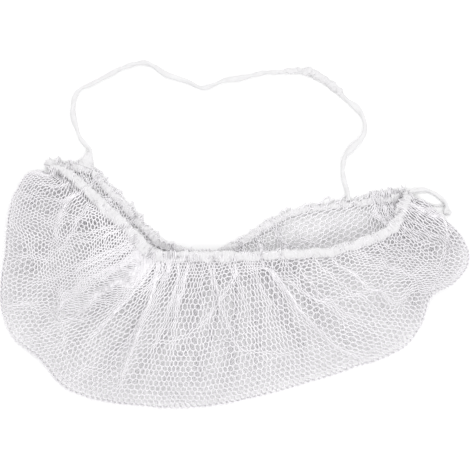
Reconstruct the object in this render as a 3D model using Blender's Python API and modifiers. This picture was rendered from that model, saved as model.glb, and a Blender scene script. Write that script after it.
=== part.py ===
# Beard net lying folded on a flat surface: a pouch of fine knitted net, a gathered elastic
# rim round its mouth, a head loop of rolled elastic with a splice, and a small side loop.
# Metres, +Z up, +X to the right, +Y from the pouch towards the head loop.
# The pouch is a thin open-mouthed bag that lies on its back layer, on the plane z = 0. Its two
# layers are one net in the real thing, and are two pieces here that meet under the fold.

import bpy
import bmesh
from collections import namedtuple
from math import atan2, cos, dist, exp, floor, pi, sin
from mathutils import Vector

# Driving dimensions of the pouch
NET_WIDTH = 0.282        # from the left lobe to the right lobe
NET_DEPTH = 0.148        # from the left end of the mouth to the lowest fold
NET_WALL = 0.001         # stands for the knit with its crinkles
POUCH_RISE = 0.0100      # how far the front layer bellies up over its straight line
FOLD_HEIGHT = 0.0034     # height of the fold between the front and the back layer
PLEAT_HEIGHT = 0.0040
PLEAT_WIDTH = 0.0066
GATHER_HEIGHT = 0.0009   # small puckers where the net meets the rim
GATHERS_A_SECTION = 1    # how many of them between two sections below

# Driving dimensions of the rim, a flat elastic band in a gathered casing
BAND_WIDTH = 0.0050
BAND_THICKNESS = 0.0030
RIM_LIFT = 0.0105        # how far the front of the mouth stands over the back
PUCKER_DEPTH = 0.0007    # how far the casing draws in between two puckers

# Driving dimensions of the cords
LOOP_DIAMETER = 0.0026
SPLICE_DIAMETER = 0.0042
SPLICE_START = 0.170     # along the head loop from its left end
SPLICE_LENGTH = 0.032
SIDE_LOOP_DIAMETER = 0.0020
SIDE_STRAND_DIAMETER = 0.0011
KNOT_DIAMETER = 0.0040
TAB_WIDTH = 0.0070
TAB_LENGTH = 0.0046
TAB_THICKNESS = 0.0032

# Clearance between pieces that touch on the real net
GAP = 0.0003

# How the net runs from the rim to the fold, as shares of that way
SQUARE_START = 0.22      # it leaves the band square to it
STRAIGHT_END = 0.35      # and comes straight to the fold
FOLD_ROUNDNESS = 0.75    # 0 is a sharp fold
CREST = 0.85             # below 1 moves the top of the belly towards the rim
DROP_END = 0.12          # where the back layer has come down to the surface
TURN_START = 0.72        # where the back layer starts to turn up into the fold
TURN_POWER = 2.2

# How finely the shapes are divided
COLUMNS_A_SECTION = 4
LAYER_ROWS = 11
RINGS_A_SECTION = 4
BAND_SIDES = 8
CORD_SIDES = 8
POINT_SPACING = 2.5      # cord points, in diameters

# Cross-sections of the folded pouch from the left end of the mouth to the right end.
# x is a share of NET_WIDTH and y of NET_DEPTH: front and back are the middle of the rim
# band on either side of the mouth, fold is where the two layers meet.
# lift is a share of RIM_LIFT for the front band, puff a share of POUCH_RISE.
Section = namedtuple("Section", "front_x front_y fold_x fold_y back_x back_y lift puff")
SECTIONS = (
    Section(-0.390, 0.480, -0.414, 0.468, -0.390, 0.480, 0.20, 0.00),
    Section(-0.367, 0.464, -0.439, 0.454, -0.365, 0.476, 0.38, 0.30),
    Section(-0.339, 0.432, -0.461, 0.403, -0.333, 0.476, 0.42, 0.52),
    Section(-0.312, 0.383, -0.478, 0.314, -0.305, 0.460, 0.52, 0.68),
    Section(-0.284, 0.330, -0.486, 0.193, -0.284, 0.415, 0.62, 0.80),
    Section(-0.254, 0.274, -0.493, 0.071, -0.256, 0.367, 0.74, 0.88),
    Section(-0.224, 0.221, -0.498, -0.063, -0.229, 0.310, 0.86, 0.92),
    Section(-0.201, 0.172, -0.473, -0.205, -0.207, 0.261, 0.95, 0.92),
    Section(-0.180, 0.132, -0.414, -0.302, -0.184, 0.221, 1.00, 0.90),
    Section(-0.150, 0.116, -0.356, -0.424, -0.163, 0.176, 1.00, 0.94),
    Section(-0.107, 0.116, -0.248, -0.480, -0.120, 0.144, 1.00, 1.00),
    Section(-0.059, 0.116, -0.095, -0.499, -0.059, 0.124, 1.00, 1.00),
    Section(-0.001, 0.116, 0.033, -0.460, -0.003, 0.156, 1.00, 1.00),
    Section(0.065, 0.120, 0.148, -0.399, 0.050, 0.217, 1.00, 1.00),
    Section(0.135, 0.128, 0.259, -0.334, 0.114, 0.286, 1.00, 0.98),
    Section(0.201, 0.136, 0.348, -0.266, 0.178, 0.314, 1.00, 0.90),
    Section(0.263, 0.168, 0.397, -0.164, 0.237, 0.326, 0.97, 0.80),
    Section(0.312, 0.205, 0.418, -0.051, 0.280, 0.338, 0.90, 0.70),
    Section(0.337, 0.237, 0.469, 0.010, 0.305, 0.347, 0.80, 0.60),
    Section(0.350, 0.274, 0.499, 0.103, 0.324, 0.351, 0.66, 0.50),
    Section(0.356, 0.306, 0.482, 0.209, 0.339, 0.355, 0.58, 0.36),
    Section(0.361, 0.334, 0.439, 0.282, 0.352, 0.359, 0.46, 0.20),
    Section(0.367, 0.371, 0.399, 0.345, 0.367, 0.371, 0.24, 0.00),
)

# Pleats, creases and grooves of the front layer, each a ridge from one place to another.
# Places are shares of NET_WIDTH and NET_DEPTH, height is a share of PLEAT_HEIGHT
# (a groove's is negative) and width a share of PLEAT_WIDTH.
Fold = namedtuple("Fold", "from_x from_y to_x to_y height width")
FOLDS = (
    Fold(-0.207, 0.184, -0.216, -0.026, 1.03, 1.50),   # bunched net left of the mouth
    Fold(-0.152, 0.071, -0.248, -0.448, 1.00, 1.00),   # long pleat left of the middle
    Fold(-0.163, 0.055, -0.363, -0.083, 0.91, 1.30),   # wide pleat to the left lobe
    Fold(-0.188, 0.120, -0.367, 0.201, 0.69, 1.20),    # upper pleat of the left lobe
    Fold(-0.107, 0.079, -0.124, -0.180, 0.69, 0.90),   # first short pleat
    Fold(-0.039, 0.079, -0.012, -0.205, 0.74, 0.90),   # second short pleat
    Fold(0.059, 0.079, 0.235, -0.253, 0.97, 1.00),     # long pleat right of the middle
    Fold(0.139, 0.095, 0.348, -0.026, 0.86, 1.20),     # slanting pleat to the right
    Fold(-0.365, 0.298, -0.365, -0.241, 0.80, 1.00),   # crease down the left lobe
    Fold(-0.367, -0.071, -0.478, -0.079, 0.57, 1.00),  # crease across the left lobe
    Fold(-0.133, -0.245, 0.016, -0.148, 0.46, 1.20),   # crease across the lower middle
    Fold(-0.073, -0.261, -0.067, -0.440, 0.46, 0.90),  # low pleat at the fold
    Fold(0.424, 0.257, 0.452, 0.160, -0.74, 1.00),     # upper groove before the right lobe
    Fold(0.452, 0.160, 0.418, -0.026, -0.91, 1.00),    # lower groove before the right lobe
)

# Routes of the cords over the surface, between their two seats, chosen by hand
HEAD_LOOP_ROUTE = (
    (-0.0921, 0.0879), (-0.0945, 0.0939), (-0.0963, 0.0999),
    (-0.0969, 0.1065), (-0.0957, 0.1131), (-0.0921, 0.1179), (-0.0861, 0.1206),
    (-0.0741, 0.1269), (-0.0675, 0.1302), (-0.0603, 0.1326), (-0.0537, 0.1335),
    (-0.0477, 0.1311), (-0.0417, 0.1269), (-0.0345, 0.1243), (-0.0279, 0.1221),
    (-0.0219, 0.1191), (-0.0177, 0.1185), (-0.0123, 0.1203), (-0.0051, 0.1233),
    (0.0033, 0.1242), (0.0177, 0.1275), (0.0273, 0.1278), (0.0357, 0.1290),
    (0.0429, 0.1284), (0.0495, 0.1257), (0.0555, 0.1221), (0.0615, 0.1173),
    (0.0663, 0.1119), (0.0723, 0.1074), (0.0768, 0.1014), (0.0783, 0.0945),
    (0.0759, 0.0879), (0.0705, 0.0828), (0.0663, 0.0777), (0.0648, 0.0705),
    (0.0657, 0.0633), (0.0672, 0.0573),
)
SIDE_LOOP_ROUTE = ((0.1113, 0.0574), (0.1173, 0.0564), (0.1230, 0.0531), (0.1269, 0.0486))

# Where the cords are seated, as sections counted along the mouth from its left end
TAB_SECTION = 2.45
HEAD_LOOP_SECTION = 16.15
SIDE_STRAND_SECTION = 21.7
KNOT_SECTION = 20.9

LAST = len(SECTIONS) - 1
BAND_HEIGHT = BAND_THICKNESS / 2
FLOOR_HEIGHT = NET_WALL / 2
LAYER_STEP = NET_WALL + 2 * GAP   # from one layer down to the other where they meet


def between(first, second, share):
    return first + (second - first) * share


def spline_point(points, place, closed=False):
    """The point of a smooth curve through the given points, at a place counted in points."""
    count = len(points)
    start = floor(place)
    if not closed:
        start = min(max(start, 0), count - 2)
    share = place - start
    picked = []
    for step in (-1, 0, 1, 2):
        index = start + step
        index = index % count if closed else min(max(index, 0), count - 1)
        picked.append(points[index])
    before, first, second, after = picked
    return 0.5 * (
        2 * first
        + (second - before) * share
        + (2 * before - 5 * first + 4 * second - after) * share**2
        + (3 * first - before - 3 * second + after) * share**3
    )


def net_place(share_x, share_y, height=0.0):
    return Vector((NET_WIDTH * share_x, NET_DEPTH * share_y, height))


FRONT_BAND = [
    net_place(row.front_x, row.front_y, BAND_HEIGHT + RIM_LIFT * row.lift) for row in SECTIONS
]
BACK_BAND = [net_place(row.back_x, row.back_y, BAND_HEIGHT) for row in SECTIONS]
FOLD_LINE = [net_place(row.fold_x, row.fold_y, FOLD_HEIGHT) for row in SECTIONS]
PUFFS = [row.puff for row in SECTIONS]


def hang_at(band, index):
    """The level direction in which the net leaves the band, square to it and downwards."""
    ahead = band[min(index + 1, LAST)] - band[max(index - 1, 0)]
    return Vector((ahead.y, -ahead.x, 0)).normalized()


def end_hang(index, neighbour):
    return (hang_at(FRONT_BAND, neighbour) + hang_at(BACK_BAND, neighbour)).normalized()


FRONT_HANGS = (
    [end_hang(0, 1)]
    + [hang_at(FRONT_BAND, index) for index in range(1, LAST)]
    + [end_hang(LAST, LAST - 1)]
)
BACK_HANGS = [hang_at(BACK_BAND, index) for index in range(1, LAST)]

# The rim as one closed line: along the front of the mouth, then back along its rear
RIM_LINE = FRONT_BAND + BACK_BAND[LAST - 1:0:-1]
RIM_HANGS = FRONT_HANGS + BACK_HANGS[::-1]


def rim_at(place):
    """The middle of the band and its hang direction; places past LAST run back at the rear."""
    middle = spline_point(RIM_LINE, place, closed=True)
    middle.z = max(middle.z, BAND_HEIGHT)
    hang = spline_point(RIM_HANGS, place, closed=True).normalized()
    return middle, hang


def rear_place(section):
    return 2 * LAST - section


def net_edge(place):
    """Where the net starts, a clearance away from the band."""
    middle, hang = rim_at(place)
    return middle + hang * (BAND_WIDTH / 2 + NET_WALL / 2 + GAP), hang


def pleat_height(x, y):
    """How far the pleats and creases raise the front layer at a place."""
    total = 0.0
    for fold in FOLDS:
        start = net_place(fold.from_x, fold.from_y)
        line = net_place(fold.to_x, fold.to_y) - start
        along = (Vector((x, y, 0)) - start).dot(line) / line.length_squared
        nearest = start + line * min(max(along, 0.0), 1.0)
        off = dist((x, y), nearest[:2]) / (PLEAT_WIDTH * fold.width)
        total += PLEAT_HEIGHT * fold.height * exp(-2.5 * off * off)
    return total


def plan_point(edge, hang, fold, share):
    """Level path of the net from the rim to the fold: square off the band, then straight."""
    reach = (fold - edge).length
    lead = edge + hang * (SQUARE_START * reach)
    arrive = fold + (edge - fold) * STRAIGHT_END
    even = between(share, sin(pi / 2 * share), FOLD_ROUNDNESS)
    rest = 1 - even
    return (
        edge * rest**3 + 3 * lead * rest**2 * even + 3 * arrive * rest * even**2 + fold * even**3
    )


def front_point(section, share):
    """A point of the front layer: share 0 at the rim, 1 at the fold."""
    edge, hang = net_edge(section)
    fold = spline_point(FOLD_LINE, section)
    point = plan_point(edge, hang, fold, share)
    puff = max(spline_point(PUFFS, section), 0.0)
    window = sin(pi * share**CREST)
    height = between(edge.z, fold.z, share**2)
    height += POUCH_RISE * puff * window
    height += pleat_height(point.x, point.y) * window * min(1.0, 2 * puff)
    pucker = (1 - share) ** 3 * min(1.0, 8 * share)
    height += GATHER_HEIGHT * puff * cos(GATHERS_A_SECTION * 2 * pi * section) * pucker
    point.z = height
    return point


def back_point(section, share):
    """A point of the back layer: it drops from the rim, lies flat and turns up at the fold."""
    edge, hang = net_edge(rear_place(section))
    fold = spline_point(FOLD_LINE, section)
    point = plan_point(edge, hang, fold, share)
    drop = max(0.0, 1 - share / DROP_END)
    turn = max(0.0, (share - TURN_START) / (1 - TURN_START))
    point.z = FLOOR_HEIGHT + (edge.z - FLOOR_HEIGHT) * drop**2
    point.z += (fold.z - LAYER_STEP - FLOOR_HEIGHT) * turn**TURN_POWER
    from_end = min(section, LAST - section)
    if from_end < 1:
        # At each end of the mouth the back layer runs in just under the front layer
        joined = (1 - from_end) ** 3
        point.z = between(point.z, front_point(section, share).z - LAYER_STEP, joined)
    return point


def net_collection():
    collection = bpy.data.collections.new("beard_net")
    bpy.context.scene.collection.children.link(collection)
    return collection


def material(name, colour, roughness):
    made = bpy.data.materials.new(name)
    made.use_nodes = True
    shader = made.node_tree.nodes["Principled BSDF"]
    shader.inputs["Base Color"].default_value = (*colour, 1.0)
    shader.inputs["Roughness"].default_value = roughness
    shader.inputs["Metallic"].default_value = 0.0
    return made


def add_object(name, data, finish, collection):
    data.materials.append(finish)
    made = bpy.data.objects.new(name, data)
    collection.objects.link(made)
    return made


def add_mesh(name, shape, finish, collection):
    mesh = bpy.data.meshes.new(name)
    shape.to_mesh(mesh)
    shape.free()
    mesh.shade_smooth()
    return add_object(name, mesh, finish, collection)


def make_layer(name, point_at, collection, finish):
    """One layer of the pouch: an open sheet from the rim to the fold, then its wall."""
    shape = bmesh.new()
    columns = []
    for column in range(COLUMNS_A_SECTION * LAST + 1):
        section = column / COLUMNS_A_SECTION
        columns.append(
            [
                shape.verts.new(point_at(section, row / LAYER_ROWS))
                for row in range(LAYER_ROWS + 1)
            ]
        )
    for left, right in zip(columns, columns[1:]):
        for row in range(LAYER_ROWS):
            shape.faces.new((left[row], left[row + 1], right[row + 1], right[row]))
    made = add_mesh(name, shape, finish, collection)
    wall = made.modifiers.new("wall", "SOLIDIFY")
    wall.thickness = NET_WALL
    wall.offset = 0.0
    return made


def make_rim(collection, finish):
    """A closed flat band, drawn in between its puckers on the side away from the net."""
    shape = bmesh.new()
    total = RINGS_A_SECTION * 2 * LAST
    rings = []
    for ring in range(total):
        place = ring / RINGS_A_SECTION
        middle, hang = rim_at(place)
        along = (rim_at(place + 0.05)[0] - rim_at(place - 0.05)[0]).normalized()
        side = (hang - along * hang.dot(along)).normalized()
        up = along.cross(side)
        drawn_in = PUCKER_DEPTH * (ring % 2)
        corners = []
        for corner in range(BAND_SIDES):
            turn = 2 * pi * corner / BAND_SIDES
            across = BAND_WIDTH / 2 * cos(turn)
            if across < 0:
                across += drawn_in * -cos(turn)
            corners.append(
                shape.verts.new(middle + side * across + up * (BAND_THICKNESS / 2 * sin(turn)))
            )
        rings.append(corners)
    for ring in range(total):
        first, second = rings[ring], rings[(ring + 1) % total]
        for corner in range(BAND_SIDES):
            following = (corner + 1) % BAND_SIDES
            shape.faces.new(
                (first[corner], first[following], second[following], second[corner])
            )
    bmesh.ops.recalc_face_normals(shape, faces=shape.faces)
    return add_mesh("rim_band", shape, finish, collection)


def smooth_route(points, spacing):
    """Points at an even spacing along a smooth curve through a route's own points."""
    fine = [
        spline_point(points, step / 20) for step in range(20 * (len(points) - 1) + 1)
    ]
    lowest = min(point.z for point in points)
    lengths = [0.0]
    for first, second in zip(fine, fine[1:]):
        lengths.append(lengths[-1] + (second - first).length)
    count = max(2, round(lengths[-1] / spacing))
    route = []
    at = 0
    for step in range(count + 1):
        wanted = lengths[-1] * step / count
        while at < len(fine) - 2 and lengths[at + 1] < wanted:
            at += 1
        share = (wanted - lengths[at]) / (lengths[at + 1] - lengths[at])
        point = between(fine[at], fine[at + 1], share)
        point.z = max(point.z, lowest)
        route.append(point)
    return route


def route_length(points):
    return sum((second - first).length for first, second in zip(points, points[1:]))


def cut_route(points, start, end):
    """The stretch of a route between two distances along it."""
    kept = []
    walked = 0.0
    for first, second in zip(points, points[1:]):
        length = (second - first).length
        for limit in (start, end):
            if walked < limit < walked + length:
                kept.append(between(first, second, (limit - walked) / length))
        if start < walked + length < end:
            kept.append(second.copy())
        walked += length
    if start <= 0:
        kept.insert(0, points[0].copy())
    return kept


def add_cord(name, points, diameter, finish, collection, swells=None):
    """A round tube along the points, which may swell and shrink from point to point."""
    curve = bpy.data.curves.new(name, "CURVE")
    curve.dimensions = "3D"
    curve.bevel_depth = diameter / 2
    curve.bevel_resolution = CORD_SIDES // 2 - 2
    curve.use_fill_caps = True
    spline = curve.splines.new("POLY")
    spline.points.add(len(points) - 1)
    for index, point in enumerate(points):
        spline.points[index].co = (*point, 1.0)
        if swells:
            spline.points[index].radius = swells[index % len(swells)]
    return add_object(name, curve, finish, collection)


def outward_seat(place, clearance):
    """A place on the far side of the band from the net, lying on the surface."""
    middle, hang = rim_at(place)
    seat = middle - hang * (BAND_WIDTH / 2 + clearance)
    return seat, -hang


def make_tab(collection, finish):
    """The sewn tab that holds the left end of the head loop against the rear of the rim."""
    seat, outward = outward_seat(rear_place(TAB_SECTION), GAP)
    middle = seat + outward * (TAB_LENGTH / 2)
    bpy.ops.mesh.primitive_cube_add(size=1.0)
    made = bpy.context.active_object
    made.name = "left_tab"
    made.data.name = "left_tab"
    for vertex in made.data.vertices:
        narrowing = 0.82 if vertex.co.y > 0 else 1.0
        vertex.co.x *= TAB_WIDTH * narrowing
        vertex.co.y *= TAB_LENGTH
        vertex.co.z *= TAB_THICKNESS
    made.location = (middle.x, middle.y, TAB_THICKNESS / 2)
    made.rotation_euler = (0.0, 0.0, atan2(-outward.x, outward.y))
    for holder in list(made.users_collection):
        holder.objects.unlink(made)
    collection.objects.link(made)
    made.data.materials.append(finish)
    rounding = made.modifiers.new("rounding", "BEVEL")
    rounding.width = TAB_THICKNESS * 0.35
    rounding.segments = 2
    made.data.shade_smooth()
    return seat + outward * (TAB_LENGTH + 2 * GAP), outward


def make_head_loop(collection, finish, splice_finish, tab_end, tab_outward):
    """The head loop in three pieces that meet end to end: left run, splice and right run."""
    lying = LOOP_DIAMETER / 2
    rim_seat, _ = outward_seat(rear_place(HEAD_LOOP_SECTION), 2 * GAP)
    lead = tab_end + tab_outward * (1.4 * LOOP_DIAMETER)
    route = [Vector((tab_end.x, tab_end.y, lying)), Vector((lead.x, lead.y, lying))]
    route += [Vector((x, y, lying)) for x, y in HEAD_LOOP_ROUTE]
    route.append(Vector((rim_seat.x, rim_seat.y, lying)))
    whole = smooth_route(route, LOOP_DIAMETER)
    length = route_length(whole)
    splice_end = SPLICE_START + SPLICE_LENGTH
    left = cut_route(whole, 0.0, SPLICE_START - GAP)
    right = cut_route(whole, splice_end + GAP, length + GAP)
    splice = cut_route(whole, SPLICE_START, splice_end)
    rise = Vector((0, 0, (SPLICE_DIAMETER - LOOP_DIAMETER) / 2))
    spacing = POINT_SPACING * LOOP_DIAMETER
    add_cord("head_loop_left", smooth_route(left, spacing), LOOP_DIAMETER, finish, collection)
    add_cord("head_loop_right", smooth_route(right, spacing), LOOP_DIAMETER, finish, collection)
    crinkles = (0.80, 0.98, 0.84, 1.0, 0.78, 0.94, 0.86)
    add_cord(
        "head_loop_splice",
        [point + rise for point in smooth_route(splice, LOOP_DIAMETER)],
        SPLICE_DIAMETER,
        splice_finish,
        collection,
        crinkles,
    )


def beside_fold(section, clearance, height):
    """A place just outside the fold of the pouch, and the direction that leads away from it."""
    here = spline_point(FOLD_LINE, section)
    along = spline_point(FOLD_LINE, section + 0.1) - spline_point(FOLD_LINE, section - 0.1)
    outward = Vector((along.y, -along.x, 0)).normalized()
    place = here + outward * (NET_WALL / 2 + clearance)
    place.z = height
    return place, outward


def make_side_loop(collection, finish):
    """The small loop at the right end of the mouth, its knot on the fold and a thin strand."""
    lying = SIDE_LOOP_DIAMETER / 2
    middle, hang = rim_at(LAST)
    along = Vector((-hang.y, hang.x, 0))
    start = middle + along * (BAND_THICKNESS / 2 + 3 * GAP + lying)
    knot_radius = KNOT_DIAMETER / 2
    knot, outward = beside_fold(KNOT_SECTION, knot_radius + GAP, knot_radius)
    end = knot + outward * (knot_radius + 2 * GAP)
    route = [Vector((start.x, start.y, start.z))]
    route += [Vector((x, y, lying)) for x, y in SIDE_LOOP_ROUTE]
    route.append(Vector((end.x, end.y, lying)))
    spacing = POINT_SPACING * SIDE_LOOP_DIAMETER
    whole = smooth_route(route, spacing)
    add_cord("side_loop", whole, SIDE_LOOP_DIAMETER, finish, collection)

    bpy.ops.mesh.primitive_ico_sphere_add(subdivisions=2, radius=knot_radius, location=knot)
    made = bpy.context.active_object
    made.name = "side_loop_knot"
    made.data.name = "side_loop_knot"
    for holder in list(made.users_collection):
        holder.objects.unlink(made)
    collection.objects.link(made)
    made.data.materials.append(finish)
    made.data.shade_smooth()

    thin = SIDE_STRAND_DIAMETER / 2
    strand_start, _ = beside_fold(SIDE_STRAND_SECTION, thin + GAP, thin)
    corner = Vector((SIDE_LOOP_ROUTE[-1][0], SIDE_LOOP_ROUTE[-1][1], thin))
    back = (strand_start - corner).normalized()
    strand_end = corner + back * (SIDE_LOOP_DIAMETER / 2 + thin + GAP)
    sag = Vector((0, -SIDE_STRAND_DIAMETER, 0))
    strand = [strand_start, between(strand_start, strand_end, 0.5) + sag, strand_end]
    add_cord(
        "side_loop_strand",
        smooth_route(strand, POINT_SPACING * SIDE_STRAND_DIAMETER),
        SIDE_STRAND_DIAMETER,
        finish,
        collection,
    )


def main():
    for old in list(bpy.data.objects):
        bpy.data.objects.remove(old, do_unlink=True)
    collection = net_collection()
    net_finish = material("white_net", (0.90, 0.91, 0.92), 0.55)
    band_finish = material("white_elastic_casing", (0.94, 0.94, 0.94), 0.65)
    cord_finish = material("white_rolled_elastic", (0.92, 0.92, 0.92), 0.60)
    make_layer("front_net", front_point, collection, net_finish)
    make_layer("back_net", back_point, collection, net_finish)
    make_rim(collection, band_finish)
    tab_end, tab_outward = make_tab(collection, band_finish)
    make_head_loop(collection, cord_finish, band_finish, tab_end, tab_outward)
    make_side_loop(collection, cord_finish)


main()
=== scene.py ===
import bpy
import random
from math import atan2, ceil, cos, exp, floor, hypot, pi, sin, sqrt
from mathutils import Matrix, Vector, noise


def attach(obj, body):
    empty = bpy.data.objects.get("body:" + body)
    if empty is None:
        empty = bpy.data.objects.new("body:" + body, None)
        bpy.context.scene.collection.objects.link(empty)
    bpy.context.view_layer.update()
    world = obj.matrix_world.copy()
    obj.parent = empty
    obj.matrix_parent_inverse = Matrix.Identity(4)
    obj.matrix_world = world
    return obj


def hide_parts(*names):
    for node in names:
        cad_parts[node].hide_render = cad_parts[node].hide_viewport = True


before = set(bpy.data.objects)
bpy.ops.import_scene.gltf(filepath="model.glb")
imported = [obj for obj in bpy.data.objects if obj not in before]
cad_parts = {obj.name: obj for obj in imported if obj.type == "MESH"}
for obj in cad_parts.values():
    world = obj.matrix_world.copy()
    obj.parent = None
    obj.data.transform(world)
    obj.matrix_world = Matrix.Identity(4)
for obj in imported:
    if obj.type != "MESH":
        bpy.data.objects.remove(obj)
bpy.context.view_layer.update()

noise.seed_set(6)    # the crumples come out the same every time

# A folded beard net seen from straight above: a knitted honeycomb pouch, its gathered rim and
# two limp cords. Metres, x along the mouth, y towards the head loop, z up from the table.

netWidth = 0.282
netDepth = 0.148
clearance = 0.0003
tableGap = 0.0001    # between the table and what lies on it


def toObjectMode():
    bpy.ops.object.mode_set(mode="OBJECT")


def deselectAll():
    if bpy.context.mode != "OBJECT":
        toObjectMode()
    bpy.ops.object.select_all(action="DESELECT")


def justAdded(name):
    # what the last operator made, under its own name
    piece = bpy.context.object
    piece.name = name
    return piece


def pickOnly(piece):
    deselectAll()
    bpy.context.view_layer.objects.active = piece
    piece.select_set(True)


def editAll(piece):
    # edit mode on this piece alone, with all of it selected
    pickOnly(piece)
    bpy.ops.object.mode_set(mode="EDIT")
    bpy.ops.mesh.select_all(action="SELECT")


def selectOnly(piece, kind, wanted):
    # edit mode on this piece, with nothing selected but the wanted edges or polygons
    editAll(piece)
    bpy.context.tool_settings.mesh_select_mode = (False, kind == "edges", kind == "polygons")
    bpy.ops.mesh.select_all(action="DESELECT")
    toObjectMode()
    for part in getattr(piece.data, kind):
        part.select = wanted(part)
    bpy.ops.object.mode_set(mode="EDIT")


def repeated(piece, count, offset):
    # a row of copies, each so far from the one before
    copies = piece.modifiers.new("copies", "ARRAY")
    copies.count = count
    copies.use_relative_offset = False
    copies.use_constant_offset = True
    copies.constant_offset_displace = offset


def applyModifiers(piece):
    pickOnly(piece)
    for name in [modifier.name for modifier in piece.modifiers]:
        bpy.ops.object.modifier_apply(modifier=name)


def smoothShaded(piece):
    pickOnly(piece)
    bpy.ops.object.shade_smooth()


def facedOutwards(piece):
    editAll(piece)
    bpy.ops.mesh.normals_make_consistent(inside=False)
    toObjectMode()
    smoothShaded(piece)


def between(first, second, share):
    return first + (second - first) * share


def clamp(value, low=0.0, high=1.0):
    return min(max(value, low), high)


def easedStep(low, high, value):
    share = clamp((value - low) / (high - low))
    return share * share * (3 - 2 * share)


def noiseAt(x, y, size, seed):
    # smooth noise from -1 to 1 with bumps of about that size
    return noise.noise(Vector((x / size, y / size, 7.31 * seed)))


def splinePoint(points, place, closed=False):
    # smooth curve through the points, place counted in points
    count = len(points)
    start = floor(place)
    if not closed:
        start = min(max(start, 0), count - 2)
    share = place - start
    picked = []
    for step in (-1, 0, 1, 2):
        index = start + step
        index = index % count if closed else min(max(index, 0), count - 1)
        picked.append(points[index])
    before, first, second, after = picked
    return 0.5 * (
        2 * first
        + (second - before) * share
        + (2 * before - 5 * first + 4 * second - after) * share**2
        + (3 * first - before - 3 * second + after) * share**3
    )


def lengthTable(points):
    # distance walked at each point
    table = [0.0]
    for first, second in zip(points, points[1:]):
        table.append(table[-1] + (second - first).length)
    return table


def lookUp(table, value):
    # place in a rising table, counted in entries
    low = 0
    high = len(table) - 1
    value = clamp(value, table[0], table[-1])
    while high - low > 1:
        middle = (low + high) // 2
        if table[middle] <= value:
            low = middle
        else:
            high = middle
    return low + (value - table[low]) / max(table[low + 1] - table[low], 1e-12)


def valueAt(values, place):
    # between two neighbours of a list, place counted in entries
    index = min(int(place), len(values) - 2)
    return between(values[index], values[index + 1], place - index)


def tableRow(table, value):
    # the rest of a table's row at that value of its first column, between its rows
    for first, second in zip(table, table[1:]):
        if value <= second[0]:
            share = clamp((value - first[0]) / (second[0] - first[0]))
            return [between(a, b, share) for a, b in zip(first[1:], second[1:])]
    return list(table[-1][1:])


def nearSegment(x, y, x0, y0, x1, y1):
    # the share of the way from x0 y0 to x1 y1 where it comes nearest, and how far off that is
    runX = x1 - x0
    runY = y1 - y0
    along = clamp(((x - x0) * runX + (y - y0) * runY) / (runX * runX + runY * runY))
    return along, hypot(x - x0 - runX * along, y - y0 - runY * along)


def hillAt(point, hill):
    # height of a soft hill there; a hill has its middle x y, its reach x y and its height,
    # all in millimetres
    off = hypot((1000 * point.x - hill[0]) / hill[2], (1000 * point.y - hill[1]) / hill[3])
    return hill[4] * exp(-off * off)


def atHeight(place, height):
    return Vector((place[0], place[1], height))


# What the picture shows, from straight above through a long lens
view = {
    "across": 0.282,
    "middleX": 0.0003,
    "middleY": 0.0303,
    "height": 1.6,
    "sensor": 36.0,
}


def makeCamera():
    deselectAll()
    place = (view["middleX"], view["middleY"], view["height"])
    bpy.ops.object.camera_add(location=place, rotation=(0, 0, 0))
    camera = justAdded("topCamera")
    camera.data.sensor_width = view["sensor"]
    camera.data.lens = view["sensor"] * view["height"] / view["across"]
    camera.data.clip_start = 0.05
    camera.data.clip_end = 20
    bpy.context.scene.camera = camera
    print("camera placed")


makeCamera()


# Cross-sections of the pouch from the left end of the mouth to the right end: front rim x y,
# fold x y and back rim x y in thousandths of the net's width and depth, lift of the front rim
# and puff
sections = (
    (-390, 480, -414, 468, -390, 480, 0.2, 0),
    (-367, 464, -439, 454, -365, 476, 0.38, 0.3),
    (-339, 432, -461, 403, -333, 476, 0.42, 0.52),
    (-312, 383, -478, 314, -305, 460, 0.52, 0.68),
    (-284, 330, -486, 193, -284, 415, 0.62, 0.8),
    (-254, 274, -493, 71, -256, 367, 0.74, 0.88),
    (-224, 221, -498, -63, -229, 310, 0.86, 0.92),
    (-201, 172, -473, -205, -207, 261, 0.95, 0.92),
    (-180, 132, -414, -302, -184, 221, 1, 0.9),
    (-150, 116, -356, -424, -163, 176, 1, 0.94),
    (-107, 116, -248, -480, -120, 144, 1, 1),
    (-59, 116, -95, -499, -59, 124, 1, 1),
    (-1, 116, 33, -460, -3, 156, 1, 1),
    (65, 120, 148, -399, 50, 217, 1, 1),
    (135, 128, 259, -334, 114, 286, 1, 0.98),
    (201, 136, 348, -266, 178, 314, 1, 0.9),
    (263, 168, 397, -164, 237, 326, 0.97, 0.8),
    (312, 205, 418, -51, 280, 338, 0.9, 0.7),
    (337, 237, 469, 10, 305, 347, 0.8, 0.6),
    (350, 274, 499, 103, 324, 351, 0.66, 0.5),
    (356, 306, 482, 209, 339, 355, 0.58, 0.36),
    (361, 334, 439, 282, 352, 359, 0.46, 0.2),
    (367, 371, 399, 345, 367, 371, 0.24, 0),
)
last = len(sections) - 1

# Pleats and creases of the front layer: from x y, to x y, height and width
pleats = (
    (-207, 184, -216, -26, 1.03, 1.5),
    (-152, 71, -248, -448, 1, 1),
    (-163, 55, -363, -83, 0.91, 1.3),
    (-188, 120, -367, 201, 0.69, 1.2),
    (-107, 79, -124, -180, 0.69, 0.9),
    (-39, 79, -12, -205, 0.74, 0.9),
    (59, 79, 235, -253, 0.97, 1),
    (139, 95, 348, -26, 0.86, 1.2),
    (-365, 298, -365, -241, 0.8, 1),
    (-367, -71, -478, -79, 0.57, 1),
    (-133, -245, 16, -148, 0.46, 1.2),
    (-73, -261, -67, -440, 0.46, 0.9),
    (424, 257, 452, 160, -0.74, 1),
    (452, 160, 418, -26, -0.91, 1),
)

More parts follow.
